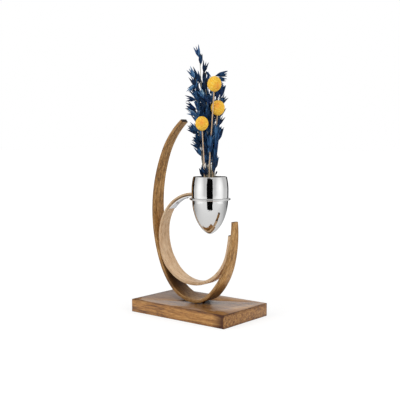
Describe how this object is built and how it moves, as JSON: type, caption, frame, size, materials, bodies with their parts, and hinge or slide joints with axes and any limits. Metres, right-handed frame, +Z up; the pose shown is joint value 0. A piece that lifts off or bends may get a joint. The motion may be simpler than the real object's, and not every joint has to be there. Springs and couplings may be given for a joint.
{
  "type": "table vase",
  "caption": "Table vase: bent oak strips on a board hold a metal ring, in which an egg-shaped metal pot with dried globe flowers and dyed oats hangs.",
  "frame": {"origin": "middle of the board's underside", "axes": "+Z up, +X along the board towards the pot's side, +Y to the back; the bent strips stand in the plane y = 0"},
  "size_m": [0.2, 0.12, 0.4529],
  "materials": {
    "dark_oak": "satin",
    "pale_oak": "satin",
    "polished_metal": "polished",
    "screw_steel": "satin",
    "globe_yellow": "matte",
    "dried_stem": "matte",
    "dyed_blue": "matte"
  },
  "bodies": {
    "stand": {"base_board": "dark_oak", "outer_strip": "dark_oak", "inner_strip": "pale_oak", "ring_strap": "polished_metal", "pot_ring": "polished_metal", "board_screw_front": "screw_steel", "board_screw_back": "screw_steel", "strap_screw_lower": "screw_steel", "strap_screw_upper": "screw_steel"},
    "vessel": {"pot": "polished_metal"},
    "bunch": {"globe_stem_high": "dried_stem", "globe_stem_middle": "dried_stem", "globe_stem_low": "dried_stem", "globe_head_high": "globe_yellow", "globe_head_middle": "globe_yellow", "globe_head_low": "globe_yellow", "oat_stalk_tall": "dyed_blue", "oat_stalk_crest": "dyed_blue", "oat_stalk_left": "dyed_blue", "oat_stalk_right": "dyed_blue", "oat_stalk_outer_right": "dyed_blue", "oat_stalk_middle": "dyed_blue", "oat_stalk_back": "dyed_blue", "oat_stalk_back_left": "dyed_blue", "oat_stalk_back_right": "dyed_blue"}
  },
  "joints": [
    {"name": "vessel_lift", "type": "slide", "parent": "stand", "child": "vessel", "axis": [0, 0, 1], "range_m": [0, 0.1]},
    {"name": "bunch_lift", "type": "slide", "parent": "vessel", "child": "bunch", "axis": [0, 0, 1], "range_m": [0, 0.1]}
  ]
}
